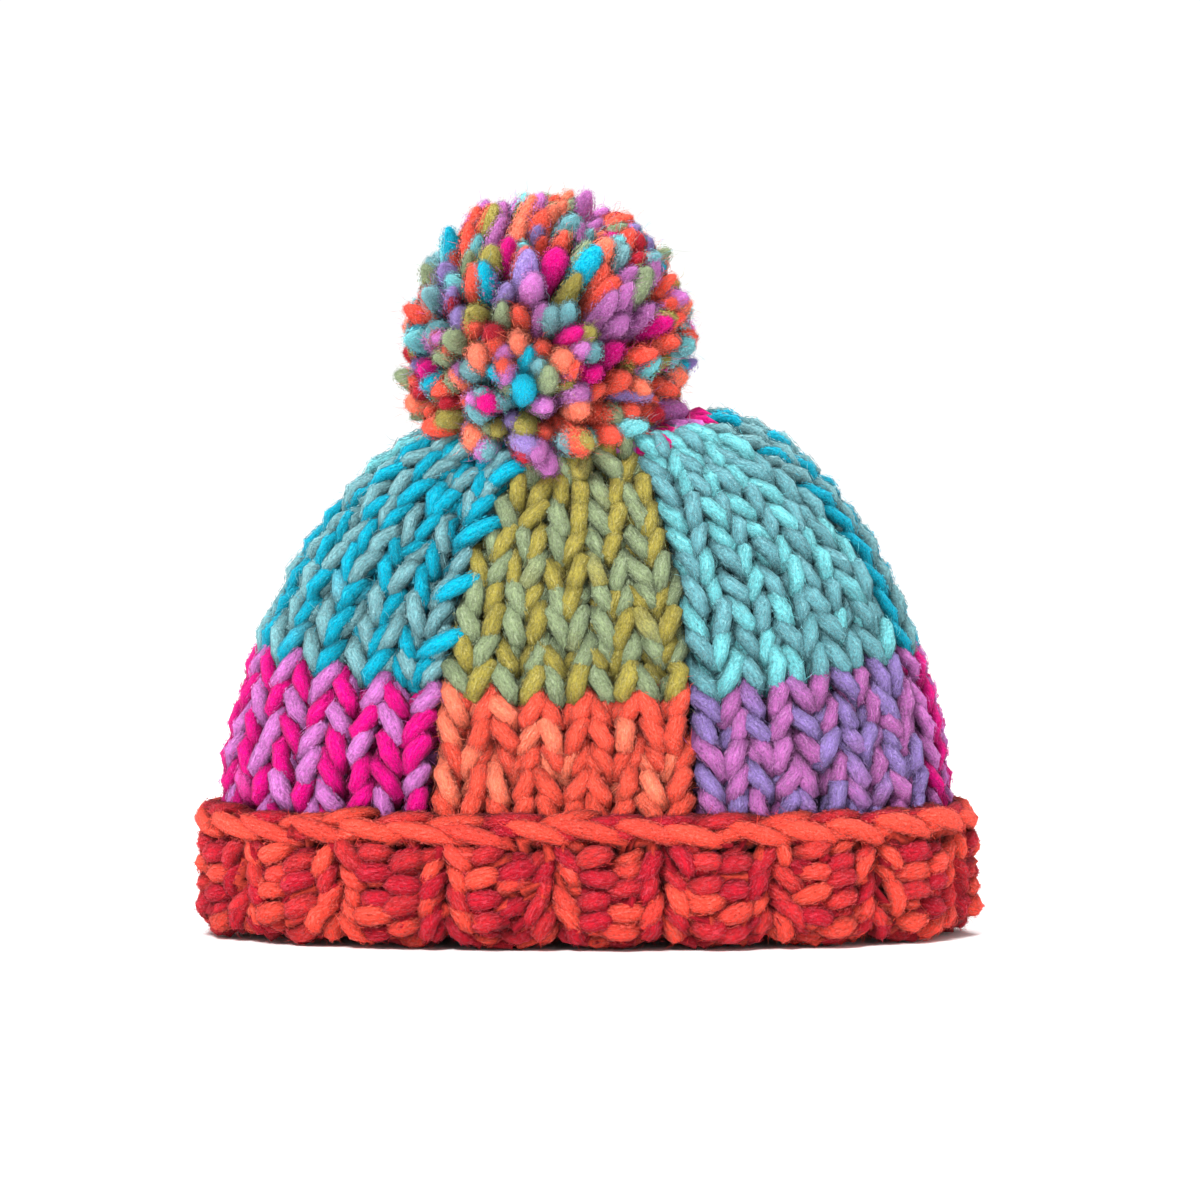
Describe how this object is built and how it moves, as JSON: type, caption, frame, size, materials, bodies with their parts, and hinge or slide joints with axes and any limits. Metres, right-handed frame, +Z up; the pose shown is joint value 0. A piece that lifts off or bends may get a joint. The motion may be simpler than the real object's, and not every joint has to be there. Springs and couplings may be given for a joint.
{
  "type": "bobble hat",
  "caption": "Chunky hand-knitted bobble hat in marled colour blocks, with a turned-up ribbed cuff, a hollow crown and a fluffy yarn pompom.",
  "frame": {"origin": "on the surface the cuff stands on, under the middle of the cuff", "axes": "+Z up along the hat, +X to the wearer's left, -Y towards the front; the hat stands flattened from front to back, as if lying loosely closed"},
  "size_m": [0.2341, 0.1194, 0.22],
  "materials": {
    "orange_yarn": "two-ply roving wool, soft matt and slightly hairy; orange-red plied with peach",
    "lavender_yarn": "two-ply roving wool, soft matt and slightly hairy; lavender plied with orchid pink",
    "magenta_yarn": "two-ply roving wool, soft matt and slightly hairy; magenta plied with orchid pink",
    "green_yarn": "two-ply roving wool, soft matt and slightly hairy; olive plied with sage",
    "aqua_yarn": "two-ply roving wool, soft matt and slightly hairy; pale aqua plied with grey-teal",
    "turquoise_yarn": "two-ply roving wool, soft matt and slightly hairy; bright turquoise plied with grey-blue",
    "red_yarn": "two-ply roving wool, soft matt and slightly hairy; orange-red plied with crimson",
    "mixed_yarn": "cut yarn ends in all the hat's colours, fluffy"
  },
  "bodies": {
    "root": {"front_lower_block": "orange_yarn", "front_upper_block": "green_yarn", "right_lower_block": "lavender_yarn", "right_upper_block": "aqua_yarn", "back_right_lower_block": "magenta_yarn", "back_right_upper_block": "turquoise_yarn", "back_lower_block": "orange_yarn", "back_upper_block": "green_yarn", "back_left_lower_block": "lavender_yarn", "back_left_upper_block": "aqua_yarn", "left_lower_block": "magenta_yarn", "left_upper_block": "turquoise_yarn", "cuff": "red_yarn", "cast_on_edge": "red_yarn", "closing_rows": "magenta_yarn", "bobble_tie": "magenta_yarn", "bobble": "mixed_yarn"}
  },
  "joints": []
}
